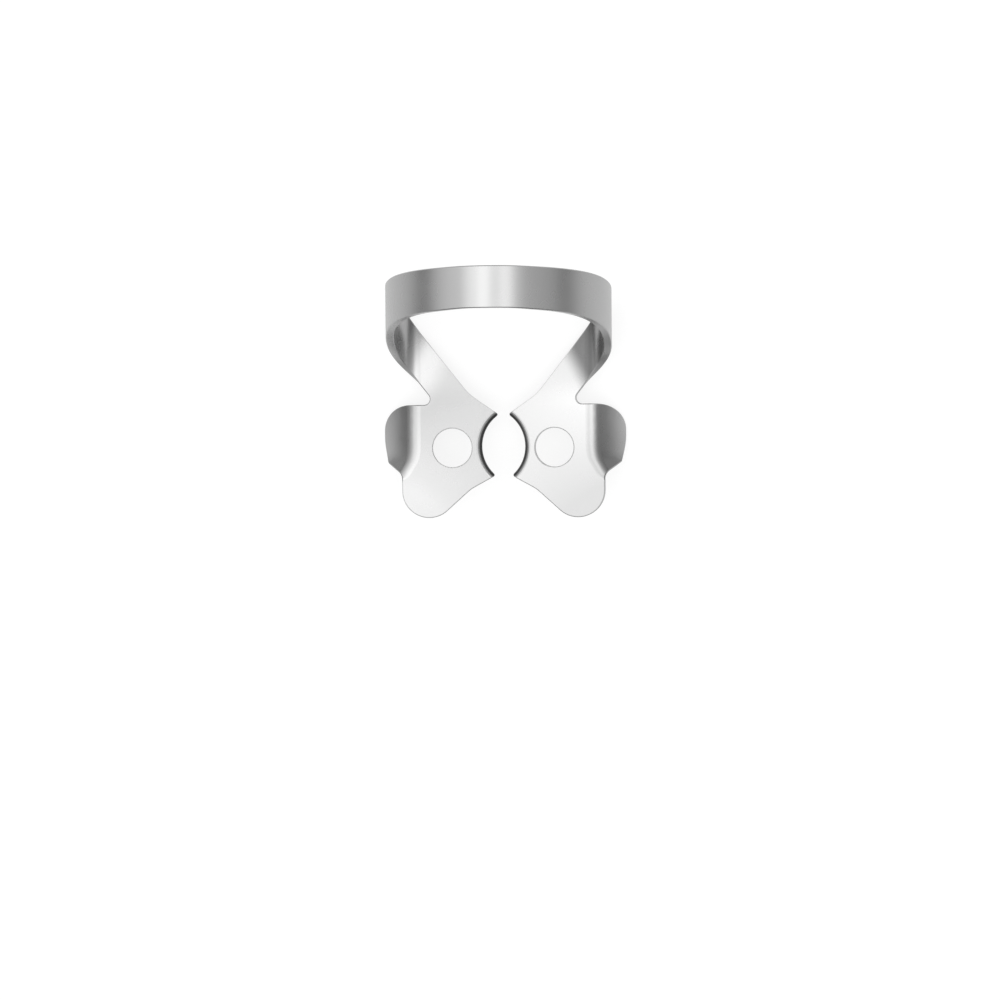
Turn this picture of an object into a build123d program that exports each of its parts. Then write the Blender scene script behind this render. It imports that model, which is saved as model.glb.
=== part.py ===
from build123d import *
import os
from math import asin, atan2, cos, degrees, hypot, radians, sin, sqrt, tan

# Rubber dam clamp: one bent sheet of spring steel, with two jaw plates, two wings, two arms and a bow.
# It is drawn with X across the clamp, +Y towards the bow and +Z up, as the +X half and its mirror image,
# and then laid on a table as it comes to rest. All lengths are in mm and all angles in degrees.

# Sheet: every edge is broken by a small flat
sheet = 0.8
edge_break = 0.08
sharp_angle = 20
quarter_turn = 90

# Jaw plates: each rises outwards from the middle of the jaw opening
jaw_slope = 4.5
jaw_width = 4.3
jaw_bevel = 0.52
jaw_land = 0.3
back_prong_gap = 0.9
back_prong_reach = 3.1
front_prong_gap = 1.6
front_prong_reach = 3.0
prong_radius = 0.2

# Forceps holes
hole_diameter = 3.9
hole_side = 5.15
hole_back = -0.2

# Front lobes: a round end, and an edge to the front prong that turns at the knee
lobe_radius = 2.7
lobe_side = 7.5
lobe_back = -4.5
knee_side = 3.3
knee_back = -4.35
knee_radius = 4.0

# Arms: two parallel edges from the elbow and the notch to the neck, where the sheet starts to bend up
arm_angle = 52
arm_width = 3.25
arm_side = 8.2
arm_back = 6.0
neck_side = 8.25
neck_tolerance = 0.01
elbow_side = 3.45
elbow_radius = 5.0
notch_radius = 0.6

# Wings: a crease that runs straight and then turns outwards, and a round flange that curves on below it
crease_side = 8.3
crease_straight = 4.2
wing_lap = 0.2
wing_back = 4.12
wing_front = -3.4
wing_tip = 12.0
wing_angle = 46.5
wing_curve = 12
wing_bend_radius = 1.55
wing_corner_radius = 2.6
wing_rim_radius = 5.8
wing_rim_back = 0.88
wing_hollow_radius = 0.9
wing_hollow_turn = 52
wing_hollow_lead = 0.1
wing_stations = 9

# Bow: a band with its own front and back edge, widest at the side and narrowest at the crown
bow_width = 22.1
side_height = 5.3
side_radius = 15.6
side_arc = 58
side_front = 9.95
side_back = 15.45
crown_front = 13.0
crown_back = 16.9
band_ease = 3.5
bend_run = 1.5
bend_rise = 3.2
bend_stations = 7
arch_stations = 8

# Rest: steps in which the clamp settles on its wings and on the bends of its bow
rest_steps = 8

os.makedirs("parts", exist_ok=True)

# Working points of the +X half, in the plane of its jaw plate
jaw_plane = Plane.XY.rotated((0, -jaw_slope, 0))
arm_slope = tan(radians(arm_angle))
neck_outer = Vector(neck_side, arm_back + (neck_side - arm_side) * arm_slope)
neck_inner = neck_outer + Vector(0, arm_width / cos(radians(arm_angle)))
elbow = neck_inner - Vector(1, arm_slope) * (neck_side - elbow_side)
notch = neck_outer - Vector(1 / arm_slope, 1) * (neck_outer.Y - wing_back)
knee = Vector(knee_side, knee_back)
back_tip = Vector(back_prong_gap / 2, back_prong_reach)
front_tip = Vector(front_prong_gap / 2, -front_prong_reach)
lobe_edge = lobe_side + lobe_radius
plate_edge = crease_side - wing_lap
to_lobe = Vector(lobe_side, lobe_back) - knee
lobe_turn = atan2(to_lobe.Y, to_lobe.X) - asin(lobe_radius / to_lobe.length)
lobe_reach = sqrt(to_lobe.length**2 - lobe_radius**2)
lobe_touch = knee + Vector(cos(lobe_turn), sin(lobe_turn)) * lobe_reach

# Flat jaw plate, as far as the neck and the root of the wing
with BuildPart() as plate:
    with BuildSketch(jaw_plane) as plate_face:
        with BuildLine():
            Polyline(back_tip, elbow, neck_inner, neck_outer, notch, (plate_edge, wing_back))
            Polyline((plate_edge, wing_back), (plate_edge, wing_front), (lobe_edge, wing_front))
            Line((lobe_edge, wing_front), (lobe_edge, lobe_back))
            TangentArc((lobe_edge, lobe_back), lobe_touch, tangent=(0, -1))
            Polyline(lobe_touch, knee, front_tip)
            jaw = ThreePointArc(front_tip, (jaw_width / 2, 0), back_tip)
        make_face()
        for corner, radius in (
            (back_tip, prong_radius),
            (front_tip, prong_radius),
            (elbow, elbow_radius),
            (knee, knee_radius),
            (notch, notch_radius),
        ):
            place = jaw_plane.from_local_coords(corner)
            fillet(plate_face.vertices().sort_by_distance(place)[0], radius)
    extrude(amount=sheet / 2, both=True)
    # Ground bevel on the upper side of the jaw
    bevel_taper = degrees(atan2(jaw_bevel, sheet - jaw_land))
    with BuildSketch(jaw_plane.offset(sheet / 2)):
        with Locations(jaw.arc_center):
            Circle(jaw.radius + jaw_bevel)
    extrude(amount=jaw_land - sheet, taper=bevel_taper, mode=Mode.SUBTRACT)
    # Forceps hole
    with BuildSketch(jaw_plane):
        with Locations((hole_side, hole_back)):
            Circle(hole_diameter / 2)
    extrude(amount=sheet, both=True, mode=Mode.SUBTRACT)

# Wing: the folded profile at stations from back to front, then its rim and its front hollow
wing_chord = radians(wing_angle + wing_curve / 2)
wing_way = Vector(cos(wing_chord), -sin(wing_chord))
crease_turn = wing_back - crease_straight
crease_run = Vector(lobe_edge - crease_side, wing_front - crease_turn)
crease_radius = (crease_run.X**2 + crease_run.Y**2) / (2 * crease_run.X)
fold_out = wing_bend_radius * sin(radians(wing_angle))
fold_down = wing_bend_radius * (1 - cos(radians(wing_angle)))
flange_plane = Plane(
    jaw_plane.from_local_coords((crease_side + fold_out, 0, -fold_down)),
    x_dir=jaw_plane.x_dir * wing_way.X + jaw_plane.z_dir * wing_way.Y,
    z_dir=jaw_plane.z_dir * wing_way.X - jaw_plane.x_dir * wing_way.Y,
)
flange_length = (wing_tip - crease_side - fold_out + sheet / 2 * wing_way.Y) / wing_way.X
flange_blank = flange_length + sheet
flange_radius = flange_blank / (2 * sin(radians(wing_curve / 2)))
corner_length = wing_corner_radius / wing_way.X
rim_length = wing_rim_radius / wing_way.X


def crease_at(back):
    """Distance of the crease from the middle: a straight line, then an arc that turns outwards."""
    past = max(0, crease_turn - back)
    return crease_side + crease_radius - sqrt(crease_radius**2 - past**2)


with BuildPart() as wing:
    wing_start = wing_back + sheet
    for k in range(wing_stations + 1):
        back = wing_start + (wing_front - wing_start) * k / wing_stations
        base = jaw_plane.from_local_coords((plate_edge, back, 0))
        with BuildSketch(Plane(base, x_dir=jaw_plane.x_dir, z_dir=(0, -1, 0))):
            with BuildLine():
                root = Line((0, 0), (crease_at(back) - plate_edge, 0))
                fold = JernArc(root @ 1, (1, 0), wing_bend_radius, -wing_angle)
                JernArc(fold @ 1, fold % 1, flange_radius, -wing_curve)
            trace(line_width=sheet)
    loft()
    with BuildSketch(flange_plane):
        with BuildLine():
            rim_back = EllipticalCenterArc(
                (flange_length - corner_length, wing_back - wing_corner_radius),
                corner_length,
                wing_corner_radius,
                start_angle=0,
                arc_size=quarter_turn,
            )
            rim_front = EllipticalCenterArc(
                (flange_length - rim_length, wing_rim_back),
                rim_length,
                wing_rim_radius,
                start_angle=-quarter_turn,
                arc_size=quarter_turn,
            )
            Line(rim_front @ 1, rim_back @ 0)
            rim_end = rim_front @ 0
            Polyline(rim_back @ 1, (-wing_tip, wing_back), (-wing_tip, rim_end.Y), rim_end)
        make_face()
    extrude(amount=wing_tip, both=True, mode=Mode.INTERSECT)
    with BuildSketch(jaw_plane):
        with BuildLine():
            lead = Line((lobe_edge, wing_front), (lobe_edge, wing_front + wing_hollow_lead))
            hollow = JernArc(lead @ 1, (0, 1), wing_hollow_radius, -wing_hollow_turn)
            leave = PolarLine(hollow @ 1, wing_tip, quarter_turn - wing_hollow_turn)
            Polyline(leave @ 1, ((leave @ 1).X, wing_front), lead @ 0)
        make_face()
    extrude(amount=wing_tip, both=True, mode=Mode.SUBTRACT)

# One half of the clamp, with every sharp edge broken except those of the neck
neck_plane = Plane(jaw_plane.from_local_coords(neck_outer), x_dir=(0, 1, 0), z_dir=jaw_plane.x_dir)


def is_sharp(edge, body):
    """True where the two faces beside an edge turn by more than the sharp angle."""
    middle = edge.position_at(0.5)
    sides = [face.normal_at(middle) for face in body.faces() if edge in face.edges()]
    return len(sides) == 2 and sides[0].get_angle(sides[1]) > sharp_angle


def on_neck(edge):
    """True for an edge that lies in the plane of the neck."""
    points = [edge.position_at(t) for t in (0, 0.5, 1)]
    return all(abs(neck_plane.to_local_coords(point).Z) < neck_tolerance for point in points)


with BuildPart() as half:
    add(plate.part)
    add(wing.part)
    sharp_edges = [edge for edge in half.edges() if is_sharp(edge, half) and not on_neck(edge)]
    chamfer(sharp_edges, edge_break)

# Bow: the arch as it looks from the end, and the front and back edge of the band at each of its stations
side_reach = bow_width / 2 - sheet / 2
haunch_reach = side_reach - side_radius * (1 - cos(radians(side_arc)))
crown_radius = haunch_reach / cos(radians(side_arc))
crown_middle = side_height + (side_radius - crown_radius) * sin(radians(side_arc))


def arch_at(turn):
    """Point of the arch at an angle: the side arc first, then the crown arc that meets it."""
    across, up = cos(radians(turn)), sin(radians(turn))
    if turn <= side_arc:
        return Vector(side_reach - side_radius * (1 - across), 0, side_height + side_radius * up)
    return Vector(crown_radius * across, 0, crown_middle + crown_radius * up)


neck = jaw_plane.from_local_coords((neck_side, 0, 0))
side = arch_at(0)
bend = Bezier(neck, neck + jaw_plane.x_dir * bend_run, side - Vector(0, 0, bend_rise), side)
bend_shares = [k / bend_stations for k in range(bend_stations)]
arch_turns = [quarter_turn * k / arch_stations for k in range(arch_stations + 1)]
arch_points = [bend @ share for share in bend_shares] + [arch_at(turn) for turn in arch_turns]
arch_ways = [bend % share for share in bend_shares]
arch_ways += [Vector(-sin(radians(turn)), 0, cos(radians(turn))) for turn in arch_turns]


def band_edge(neck_y, side_y, crown_y):
    """Place of one edge of the band at each station: it leaves the arm straight and eases to the crown."""
    rise = (crown_y - side_y) * band_ease / (side_radius * radians(quarter_turn))
    places = []
    for share in bend_shares:
        left = 1 - share
        swing = share * left * bend.length * (left * arm_slope - share * rise)
        places.append(neck_y + (side_y - neck_y) * share**2 * (3 - 2 * share) + swing)
    for turn in arch_turns:
        places.append(crown_y + (side_y - crown_y) * (1 - turn / quarter_turn) ** band_ease)
    return places


def edge_flats(places):
    """Breadth of the broken edge in each section of the band, which is more where the edge runs askew."""
    spans = [(after - before).length for before, after in zip(arch_points, arch_points[2:])]
    slopes = [(after - before) / span for before, after, span in zip(places, places[2:], spans)]
    return [edge_break * hypot(1, slope) for slope in [arm_slope, *slopes, 0]]


fronts = band_edge(neck_outer.Y, side_front, crown_front)
backs = band_edge(neck_inner.Y, side_back, crown_back)
with BuildPart() as bow:
    bands = []
    skin, wall = sheet / 2, sheet / 2 - edge_break
    for point, way, front, back, near, far in zip(
        arch_points, arch_ways, fronts, backs, edge_flats(fronts), edge_flats(backs)
    ):
        width = back - front
        band_plane = Plane(point + Vector(0, front, 0), x_dir=(0, 1, 0), z_dir=way)
        with BuildSketch(band_plane, mode=Mode.PRIVATE) as band:
            with BuildLine():
                upper = Polyline((0, wall), (near, skin), (width - far, skin), (width, wall))
                lower = Polyline((width, -wall), (width - far, -skin), (near, -skin), (0, -wall))
                Line(upper @ 1, lower @ 0)
                Line(lower @ 1, upper @ 0)
            make_face()
        bands.append(band.sketch)
    bands += [mirror(band, about=Plane.YZ, mode=Mode.PRIVATE) for band in reversed(bands[:-1])]
    loft(bands)

# Whole sheet: both halves and the bow
with BuildPart() as bent_sheet:
    add(half.part)
    mirror(about=Plane.YZ)
    add(bow.part)


def lowest(body, pitch):
    """Height of a body's lowest point once the bow side has pitched down."""
    return body.rotate(Axis.X, -pitch).bounding_box().min.Z


# The clamp pitches down at its bow until the bends of the bow lie as low as the wings
pitch = 0
for _ in range(rest_steps):
    gap = lowest(bow.part, pitch) - lowest(half.part, pitch)
    pitch += degrees(atan2(gap, side_front - wing_rim_back))

# The finished clamp on the table, with its origin in the middle of the ground that it covers
rest_box = bent_sheet.part.rotate(Axis.X, -pitch).bounding_box()
with BuildPart() as clamp:
    with Locations((0, -rest_box.center().Y, -rest_box.min.Z)):
        add(bent_sheet.part, rotation=(-pitch, 0, 0))

clamp.part.label = "clamp"
export_step(clamp.part, "parts/clamp.step")
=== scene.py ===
from math import pi, radians

import bpy
from mathutils import Euler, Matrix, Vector

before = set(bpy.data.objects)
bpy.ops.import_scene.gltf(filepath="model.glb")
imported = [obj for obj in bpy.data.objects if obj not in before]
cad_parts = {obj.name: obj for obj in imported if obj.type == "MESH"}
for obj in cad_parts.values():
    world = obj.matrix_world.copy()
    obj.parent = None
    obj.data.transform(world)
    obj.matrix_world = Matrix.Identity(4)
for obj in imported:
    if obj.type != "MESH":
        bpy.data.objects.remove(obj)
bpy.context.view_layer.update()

MM = 0.001
WHITE = (1.0, 1.0, 1.0, 1.0)

# Camera: looks straight down on the jaw plates, which lie tilted on the floor
LENS_MM = 90.0
SENSOR_MM = 36.0
CAMERA_TURN = (radians(-19.02), radians(3.9), radians(-1.71))
CAMERA_AIM = Vector((-0.55, -13.33, 3.08)) * MM
CAMERA_DISTANCE = 252.5 * MM

# Light boxes: two long ones overhead, one each side of the camera
BOX_DISTANCE = 0.5
BOX_TURNS = {"light_box_left": radians(-13.5), "light_box_right": radians(21.0)}
BOX_WIDTH = 0.16
BOX_LENGTH = 0.6
BOX_RADIANCE = 0.45

# Ceiling: its levels run from straight behind the camera's aim, at 0, to the camera's own axis, at 1
CEILING_STRENGTH = 1.4
CEILING_LEVELS = (
    (0.0, 0.15),
    (0.44, 0.15),
    (0.50, 0.30),
    (0.55, 0.46),
    (0.63, 0.56),
    (0.71, 0.58),
    (0.79, 0.60),
    (0.855, 0.78),
    (0.91, 1.0),
)
CEILING_LEAN = 0.26

# Floor: pale paper that reads as white, with a painted glow that the steel reflects, fading away from the clamp
FLOOR_HALF = 4.0
FLOOR_COLOR = 0.25
FLOOR_LIFT = 0.78
FLOOR_SHEEN = 0.75
SHEEN_END = 0.11

# Steel: a grey metal with a haze in its colour and gloss, a faint waviness and a fine grain
STEEL_COLOR = 0.5
COLOR_SPREAD = 0.02
STEEL_ROUGHNESS = 0.27
ROUGHNESS_SPREAD = 0.04
HAZE_SCALE = 260.0
HAZE_DETAIL = 3.0
WAVE_SCALE = 110.0
WAVE_DETAIL = 0.0
WAVE_HEIGHT = 0.00006
GRAIN_SCALE = 14000.0
GRAIN_DETAIL = 2.0
GRAIN_HEIGHT = 0.000001

# Pose of the jaw plates in the clamp's own frame: the middle of the jaws, and the pitch towards the bow
JAW_MIDDLE = Vector((0.0, -7.5477, 3.0803)) * MM
PLATE_TURN = (radians(-16.8323), 0.0, 0.0)

# The painted light and shade below is placed in the frame of the jaw plates, in mm and in parts of a unit normal.
# A pair is where a smooth step starts and where it ends. A tone of 1 leaves the steel's colour as it is.

# Jaw bevels: painted shade, with a painted highlight on the rim
JAW_CENTER = (-1.676, -0.082)
JAW_REACH = (4.6, 4.5)
JAW_BEVEL_FACING = (-0.25, -0.45)
JAW_BEVEL_RIM = (4.02, 4.22)
JAW_BEVEL_SHADE_TONE = 0.2
JAW_BEVEL_RIM_HIGHLIGHT = 1.4

# Insides of the lower bends: painted shade, sooner and more so on the right, and clear again further out
BEND_SIDE = 7.2
BEND_SKEW = 1.1
BEND_BACK = 10.0
BEND_WAY = (0.89, 0.45)
BEND_PAST = (-0.9, 1.1)
BEND_INWARD = (0.05, -0.05)
BEND_EDGEWISE = (0.45, 0.25)
BEND_SHADE_TONE = 0.42
BEND_SHADE_SKEW = 0.12
BEND_DEEP_SIDE = (8.6, 9.8)
BEND_DEEP_SHADE_TONE = 0.95

# Arms: a painted highlight just before the bends, mostly on the left
GLEAM_START = (-4.2, -1.8)
GLEAM_END = (0.4, -1.4)
GLEAM_BACK = (3.0, 5.0)
GLEAM = 0.12
GLEAM_SKEW = 0.1

# Front edges of the bends: painted shade low down
WALL_FRONT = (-0.3, -0.6)
WALL_HEIGHT = (3.5, 1.5)
WALL_SIDE = (8.0, 9.0)
WALL_BACK = (5.0, 6.0)
WALL_SHADE_TONE = 0.6

# Folds of the wings: painted shade along the crease
FOLD_SLOPE_START = (0.25, 0.62)
FOLD_SLOPE_END = (0.785, 0.66)
FOLD_BACK = (5.1, 5.0)
FOLD_FRONT = (-3.55, -3.15)
FOLD_FACE = (0.2, 0.4)
FOLD_SIDE = (8.15, 8.45)
FOLD_SHADE_TONE = 0.48

# Jaw plates: painted light towards the right back and the left front, painted shade towards the right front and
# the left back
PLATE_LIGHT_TWIST = 0.0035
PLATE_LIGHT_LIMIT = 40.0
PLATE_LIGHT_BACK = (7.0, 4.0)

# Broken edges: painted highlight on the flat part and the lobes
EDGE_HIGHLIGHT_SLANT_START = (0.5, 0.6)
EDGE_HIGHLIGHT_SLANT_END = (0.92, 0.85)
EDGE_HIGHLIGHT_SIDE = (8.15, 6.35)
EDGE_HIGHLIGHT_BACK = (10.9, 10.8)
EDGE_HIGHLIGHT_LOBE = (-3.45, -3.55)
EDGE_HIGHLIGHT_TONE = 1.7


def set_socket(node, name, value):
    """Sets one unlinked input of a node."""
    node.inputs[name].default_value = value


class Sums:
    """Arithmetic in one node tree, on links and plain numbers."""

    def __init__(self, tree):
        self.nodes, self.links = tree.nodes, tree.links

    def feed(self, socket, term):
        """Gives a socket a link or a plain number."""
        if isinstance(term, bpy.types.NodeSocket):
            self.links.new(term, socket)
        else:
            socket.default_value = term

    def do(self, operation, *terms):
        """One step of arithmetic."""
        step = self.nodes.new("ShaderNodeMath")
        step.operation = operation
        for socket, term in zip(step.inputs, terms):
            self.feed(socket, term)
        return step.outputs["Value"]

    def product(self, first, *others):
        """All the terms multiplied together."""
        for other in others:
            first = self.do("MULTIPLY", first, other)
        return first

    def toned(self, mask, tone):
        """A factor that is 1 where the mask is 0, and the tone where the mask is 1."""
        return self.do("MULTIPLY_ADD", mask, tone - 1.0, 1.0)

    def rise(self, term, start, end):
        """A smooth step, from 0 where the term is at its start to 1 where it is at its end."""
        step = self.nodes.new("ShaderNodeMapRange")
        step.interpolation_type = "SMOOTHSTEP"
        self.feed(step.inputs["Value"], term)
        set_socket(step, "From Min", start)
        set_socket(step, "From Max", end)
        return step.outputs["Result"]

    def spread(self, term, middle, half):
        """Spreads a term between 0 and 1 evenly over a middle value, plus and minus a half width."""
        step = self.nodes.new("ShaderNodeMapRange")
        self.feed(step.inputs["Value"], term)
        set_socket(step, "To Min", middle - half)
        set_socket(step, "To Max", middle + half)
        return step.outputs["Result"]

    def noise(self, place, scale, detail):
        """Cloudy noise in the clamp's own frame."""
        cloud = self.nodes.new("ShaderNodeTexNoise")
        set_socket(cloud, "Scale", scale)
        set_socket(cloud, "Detail", detail)
        self.links.new(place, cloud.inputs["Vector"])
        return cloud.outputs["Fac"]

    def relief(self, height, distance, under=None):
        """Bump from a height, on top of an earlier bump where there is one."""
        bump = self.nodes.new("ShaderNodeBump")
        set_socket(bump, "Distance", distance)
        self.links.new(height, bump.inputs["Height"])
        if under is not None:
            self.links.new(under, bump.inputs["Normal"])
        return bump.outputs["Normal"]

    def in_plate_frame(self, term, middle, unit):
        """The three parts of a place or a direction in the frame of the jaw plates."""
        turn = self.nodes.new("ShaderNodeMapping")
        turn.vector_type = "TEXTURE"
        set_socket(turn, "Location", middle)
        set_socket(turn, "Rotation", PLATE_TURN)
        set_socket(turn, "Scale", (unit, unit, unit))
        self.links.new(term, turn.inputs["Vector"])
        parts = self.nodes.new("ShaderNodeSeparateXYZ")
        self.links.new(turn.outputs["Vector"], parts.inputs["Vector"])
        return parts.outputs["X"], parts.outputs["Y"], parts.outputs["Z"]

    def along(self, direction, way):
        """How far a direction points along a given way, from -1 to 1."""
        part = self.nodes.new("ShaderNodeVectorMath")
        part.operation = "DOT_PRODUCT"
        part.inputs[1].default_value = way
        self.links.new(direction, part.inputs[0])
        return part.outputs["Value"]


def jaw_bevel_shade(sums, side, back, outward, tip):
    """Mask and painted shade of the jaw bevel: the ring round the jaw's centre whose faces turn towards that
    centre, with a painted highlight on its rim.
    """
    off_side = sums.do("SUBTRACT", side, JAW_CENTER[0])
    off_back = sums.do("SUBTRACT", back, JAW_CENTER[1])
    squares = sums.do("ADD", sums.product(off_side, off_side), sums.product(off_back, off_back))
    reach = sums.do("SQRT", squares)
    facing = sums.do("MULTIPLY_ADD", off_side, outward, sums.product(off_back, tip))
    facing = sums.do("DIVIDE", facing, reach)
    mask = sums.product(sums.rise(facing, *JAW_BEVEL_FACING), sums.rise(reach, *JAW_REACH))
    rim = sums.rise(reach, *JAW_BEVEL_RIM)
    # painted shade on the bevel, and a painted highlight on its rim
    change = sums.do("MULTIPLY_ADD", rim, JAW_BEVEL_RIM_HIGHLIGHT - JAW_BEVEL_SHADE_TONE, JAW_BEVEL_SHADE_TONE - 1.0)
    return mask, sums.do("MULTIPLY_ADD", mask, change, 1.0)


def lower_bend_shade(sums, hand, side, back, outward, tip):
    """Painted shade inside each lower bend, by the distance past a slanting line where the bend starts.

    A painted highlight before the line turns into the painted shade inside, which clears again further out."""
    start = sums.do("MULTIPLY_ADD", hand, -BEND_SKEW, BEND_SIDE)
    past_side = sums.do("SUBTRACT", side, start)
    past_back = sums.do("SUBTRACT", back, BEND_BACK)
    past = sums.do("MULTIPLY_ADD", past_side, BEND_WAY[0], sums.product(past_back, BEND_WAY[1]))
    edgewise = sums.do("ABSOLUTE", tip)
    inside = sums.product(sums.rise(outward, *BEND_INWARD), sums.rise(edgewise, *BEND_EDGEWISE))

    # painted shade inside the bend, darker on the right
    bend_shade = sums.do("MULTIPLY_ADD", hand, -BEND_SHADE_SKEW, BEND_SHADE_TONE - 1.0)
    to_deep = sums.do("SUBTRACT", BEND_DEEP_SHADE_TONE - 1.0, bend_shade)
    bend_shade = sums.do("MULTIPLY_ADD", sums.rise(side, *BEND_DEEP_SIDE), to_deep, bend_shade)
    bend_shade = sums.product(sums.rise(past, *BEND_PAST), inside, bend_shade)

    # painted highlight on the arm just before the bend
    before = sums.product(sums.rise(past, *GLEAM_START), sums.rise(past, *GLEAM_END), inside)
    gleam = sums.do("MULTIPLY_ADD", hand, -GLEAM_SKEW, GLEAM)
    gleam = sums.product(before, gleam, sums.rise(back, *GLEAM_BACK))
    return sums.do("ADD", sums.do("ADD", bend_shade, gleam), 1.0)


def bend_wall_shade(sums, side, back, height, tip):
    """Painted shade on the bends' front edges: darker where they face forwards, low down and far out."""
    mask = sums.product(
        sums.rise(tip, *WALL_FRONT),
        sums.rise(height, *WALL_HEIGHT),
        sums.rise(side, *WALL_SIDE),
        sums.rise(back, *WALL_BACK),
    )
    return sums.toned(mask, WALL_SHADE_TONE)


def wing_fold_shade(sums, side, back, outward, face):
    """Painted shade on the wings' folds: dark where the upper side slopes outwards about as steeply as the
    flange.
    """
    mask = sums.product(
        sums.rise(outward, *FOLD_SLOPE_START),
        sums.rise(outward, *FOLD_SLOPE_END),
        sums.rise(back, *FOLD_BACK),
        sums.rise(back, *FOLD_FRONT),
        sums.rise(face, *FOLD_FACE),
        sums.rise(side, *FOLD_SIDE),
    )
    return sums.toned(mask, FOLD_SHADE_TONE)


def plate_light_twist(sums, across, back):
    """Painted light and shade on the jaw plates: grows with the distance across times the distance back, within a
    limit.
    """
    twist = sums.do("MAXIMUM", sums.product(across, back), -PLATE_LIGHT_LIMIT)
    twist = sums.do("MINIMUM", twist, PLATE_LIGHT_LIMIT)
    return sums.do("ADD", sums.product(twist, PLATE_LIGHT_TWIST, sums.rise(back, *PLATE_LIGHT_BACK)), 1.0)


def edge_highlight(sums, jaw_bevel_mask, side, back, face):
    """Painted highlight on the broken edges: bright where the upper side slants, but not on the jaw bevels."""
    slant = sums.product(sums.rise(face, *EDGE_HIGHLIGHT_SLANT_START), sums.rise(face, *EDGE_HIGHLIGHT_SLANT_END))
    flat_part = sums.product(sums.rise(side, *EDGE_HIGHLIGHT_SIDE), sums.rise(back, *EDGE_HIGHLIGHT_BACK))
    reached = sums.do("MAXIMUM", flat_part, sums.rise(back, *EDGE_HIGHLIGHT_LOBE))
    return sums.toned(sums.product(slant, reached, sums.do("SUBTRACT", 1.0, jaw_bevel_mask)), EDGE_HIGHLIGHT_TONE)


def painted_light_tone(sums, place):
    """How light each place is painted: the painted light and shade of all the marked places, multiplied together.
    """
    across, back, height = sums.in_plate_frame(place.outputs["Object"], JAW_MIDDLE, MM)
    lean, tip, face = sums.in_plate_frame(place.outputs["Normal"], (0.0, 0.0, 0.0), 1.0)
    side = sums.do("ABSOLUTE", across)
    hand = sums.do("SIGN", across)
    outward = sums.product(lean, hand)
    jaw_bevel_mask, jaw_bevel_shade_tone = jaw_bevel_shade(sums, side, back, outward, tip)
    return sums.product(
        jaw_bevel_shade_tone,
        lower_bend_shade(sums, hand, side, back, outward, tip),
        bend_wall_shade(sums, side, back, height, tip),
        wing_fold_shade(sums, side, back, outward, face),
        plate_light_twist(sums, across, back),
        edge_highlight(sums, jaw_bevel_mask, side, back, face),
    )


def satin_steel():
    """Satin spring steel: the haze times the painted light and shade gives the colour, and the haze alone the
    gloss.
    """
    steel = bpy.data.materials.new("satin_steel")
    steel.use_nodes = True
    sums = Sums(steel.node_tree)
    shader = sums.nodes["Principled BSDF"]
    set_socket(shader, "Metallic", 1.0)
    place = sums.nodes.new("ShaderNodeTexCoord")
    spot = place.outputs["Object"]

    haze = sums.noise(spot, HAZE_SCALE, HAZE_DETAIL)
    cloud = sums.spread(haze, STEEL_COLOR, COLOR_SPREAD)
    # the base colour is the haze times the painted light and shade
    sums.links.new(sums.product(cloud, painted_light_tone(sums, place)), shader.inputs["Base Color"])
    gloss = sums.spread(haze, STEEL_ROUGHNESS, ROUGHNESS_SPREAD)
    sums.links.new(gloss, shader.inputs["Roughness"])

    wavy = sums.relief(sums.noise(spot, WAVE_SCALE, WAVE_DETAIL), WAVE_HEIGHT)
    grained = sums.relief(sums.noise(spot, GRAIN_SCALE, GRAIN_DETAIL), GRAIN_HEIGHT, wavy)
    sums.links.new(grained, shader.inputs["Normal"])
    return steel


def pale_paper():
    """Matt paper, lifted to white where the eye looks at it, with a painted glow where a shiny surface looks at
    it, fading away from the clamp. Its shadows stay.
    """
    paper = bpy.data.materials.new("pale_paper")
    paper.use_nodes = True
    sums = Sums(paper.node_tree)
    nodes, links = sums.nodes, sums.links
    nodes.clear()
    out = nodes.new("ShaderNodeOutputMaterial")
    place = nodes.new("ShaderNodeTexCoord")
    off = nodes.new("ShaderNodeVectorMath")
    off.operation = "LENGTH"
    links.new(place.outputs["Object"], off.inputs[0])
    near = sums.rise(off.outputs["Value"], SHEEN_END, 0.0)

    matt = nodes.new("ShaderNodeBsdfDiffuse")
    set_socket(matt, "Color", (FLOOR_COLOR, FLOOR_COLOR, FLOOR_COLOR, 1.0))
    rays = nodes.new("ShaderNodeLightPath")
    # painted glow: the paper glows in the steel's reflections, most near the clamp
    sheen = sums.product(near, FLOOR_SHEEN, rays.outputs["Is Glossy Ray"])
    seen = sums.do("MAXIMUM", rays.outputs["Is Camera Ray"], sheen)
    seen = sums.do("MAXIMUM", seen, rays.outputs["Is Transmission Ray"])
    glow = nodes.new("ShaderNodeEmission")
    links.new(sums.product(seen, FLOOR_LIFT), glow.inputs["Strength"])
    both = nodes.new("ShaderNodeAddShader")
    links.new(matt.outputs["BSDF"], both.inputs[0])
    links.new(glow.outputs["Emission"], both.inputs[1])
    links.new(both.outputs["Shader"], out.inputs["Surface"])
    return paper


def floor():
    """A large flat square at the height the clamp lies on."""
    mesh = bpy.data.meshes.new("floor")
    h = FLOOR_HALF
    mesh.from_pydata([(-h, -h, 0), (h, -h, 0), (h, h, 0), (-h, h, 0)], [], [(0, 1, 2, 3)])
    sheet = bpy.data.objects.new("floor", mesh)
    bpy.context.collection.objects.link(sheet)
    mesh.materials.append(pale_paper())


def camera():
    """The camera, set back from its aim along its own axis."""
    lens = bpy.data.cameras.new("camera")
    lens.lens = LENS_MM
    lens.sensor_width = SENSOR_MM
    lens.clip_start = MM
    eye = bpy.data.objects.new("camera", lens)
    eye.rotation_euler = CAMERA_TURN
    axis = Euler(CAMERA_TURN).to_matrix().col[2]
    eye.location = CAMERA_AIM + axis * CAMERA_DISTANCE
    bpy.context.collection.objects.link(eye)
    bpy.context.scene.camera = eye


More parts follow.
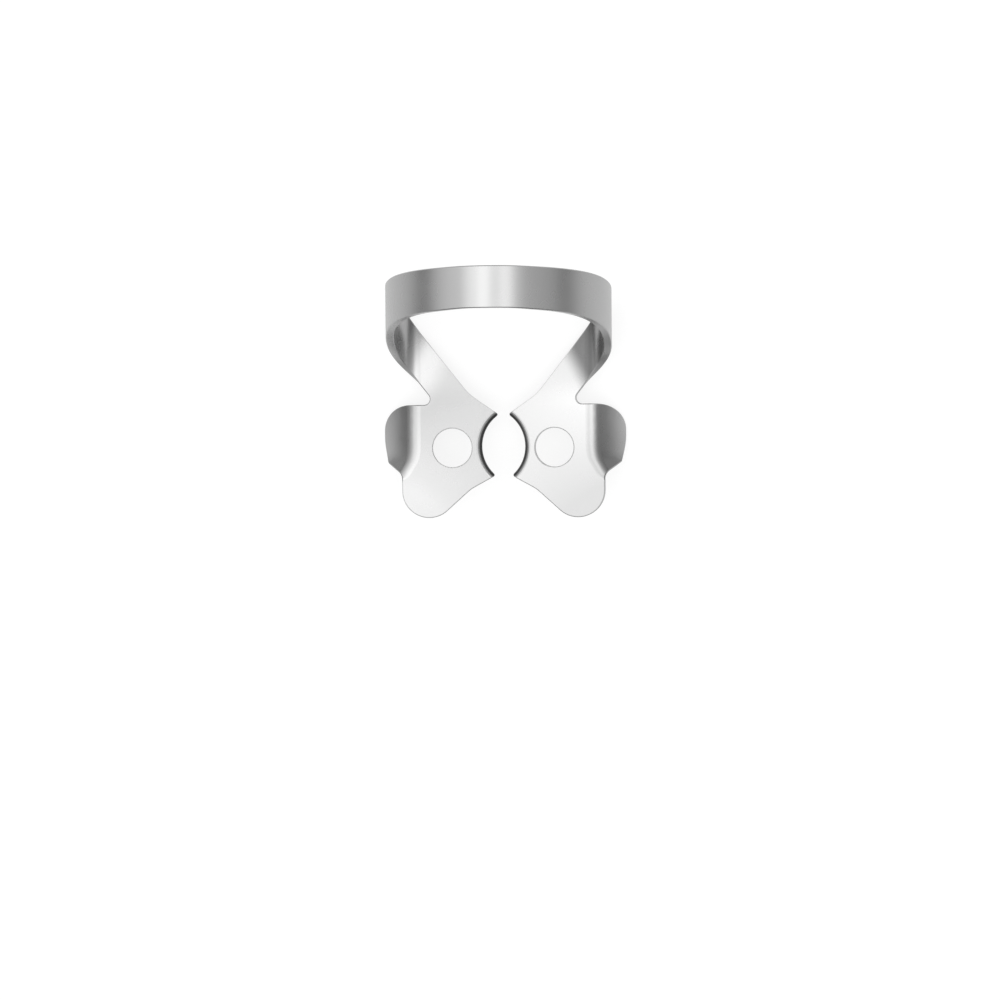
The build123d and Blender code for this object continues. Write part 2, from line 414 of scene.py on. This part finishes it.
def light_box(name, turn):
    """A long soft box over the clamp, swung to one side of the camera's axis."""
    lamp = bpy.data.lights.new(name, "AREA")
    lamp.shape = "RECTANGLE"
    lamp.size = BOX_WIDTH
    lamp.size_y = BOX_LENGTH
    lamp.energy = BOX_RADIANCE * pi * BOX_WIDTH * BOX_LENGTH
    box = bpy.data.objects.new(name, lamp)
    face = Euler(CAMERA_TURN).to_matrix() @ Euler((0, turn, 0)).to_matrix()
    box.rotation_euler = face.to_euler()
    box.location = face.col[2] * BOX_DISTANCE
    bpy.context.collection.objects.link(box)


def ceiling():
    """The surrounding: brightest over the camera's axis, dark at the horizon, a little darker on the right.

    Where it is seen directly it is plain white, as the floor is."""
    turn = Euler(CAMERA_TURN).to_matrix()
    world = bpy.data.worlds.new("ceiling")
    bpy.context.scene.world = world
    world.use_nodes = True
    sums = Sums(world.node_tree)
    nodes, links = sums.nodes, sums.links
    way = nodes.new("ShaderNodeTexCoord").outputs["Generated"]

    height = nodes.new("ShaderNodeMapRange")
    set_socket(height, "From Min", -1.0)
    links.new(sums.along(way, turn.col[2]), height.inputs["Value"])
    ramp = nodes.new("ShaderNodeValToRGB")
    ramp.color_ramp.interpolation = "EASE"
    stops = ramp.color_ramp.elements
    while len(stops) < len(CEILING_LEVELS):
        stops.new(1.0)
    for stop, (at, level) in zip(stops, CEILING_LEVELS):
        stop.position = at
        stop.color = (level, level, level, 1.0)
    links.new(height.outputs["Result"], ramp.inputs["Fac"])
    lean = sums.along(way, turn.col[0])
    lean = sums.do("MULTIPLY_ADD", lean, -CEILING_LEAN * CEILING_STRENGTH, CEILING_STRENGTH)
    lit = nodes["Background"]
    links.new(ramp.outputs["Color"], lit.inputs["Color"])
    links.new(lean, lit.inputs["Strength"])

    rays = nodes.new("ShaderNodeLightPath")
    plain = nodes.new("ShaderNodeBackground")
    set_socket(plain, "Color", WHITE)
    seen = nodes.new("ShaderNodeMixShader")
    links.new(rays.outputs["Is Camera Ray"], seen.inputs["Fac"])
    links.new(lit.outputs["Background"], seen.inputs[1])
    links.new(plain.outputs["Background"], seen.inputs[2])
    links.new(seen.outputs["Shader"], nodes["World Output"].inputs["Surface"])


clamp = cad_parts["clamp"]
clamp.material_slots[0].material = satin_steel()
floor()
camera()
for box_name, box_turn in BOX_TURNS.items():
    light_box(box_name, box_turn)
ceiling()
bpy.context.scene.view_settings.view_transform = "Standard"
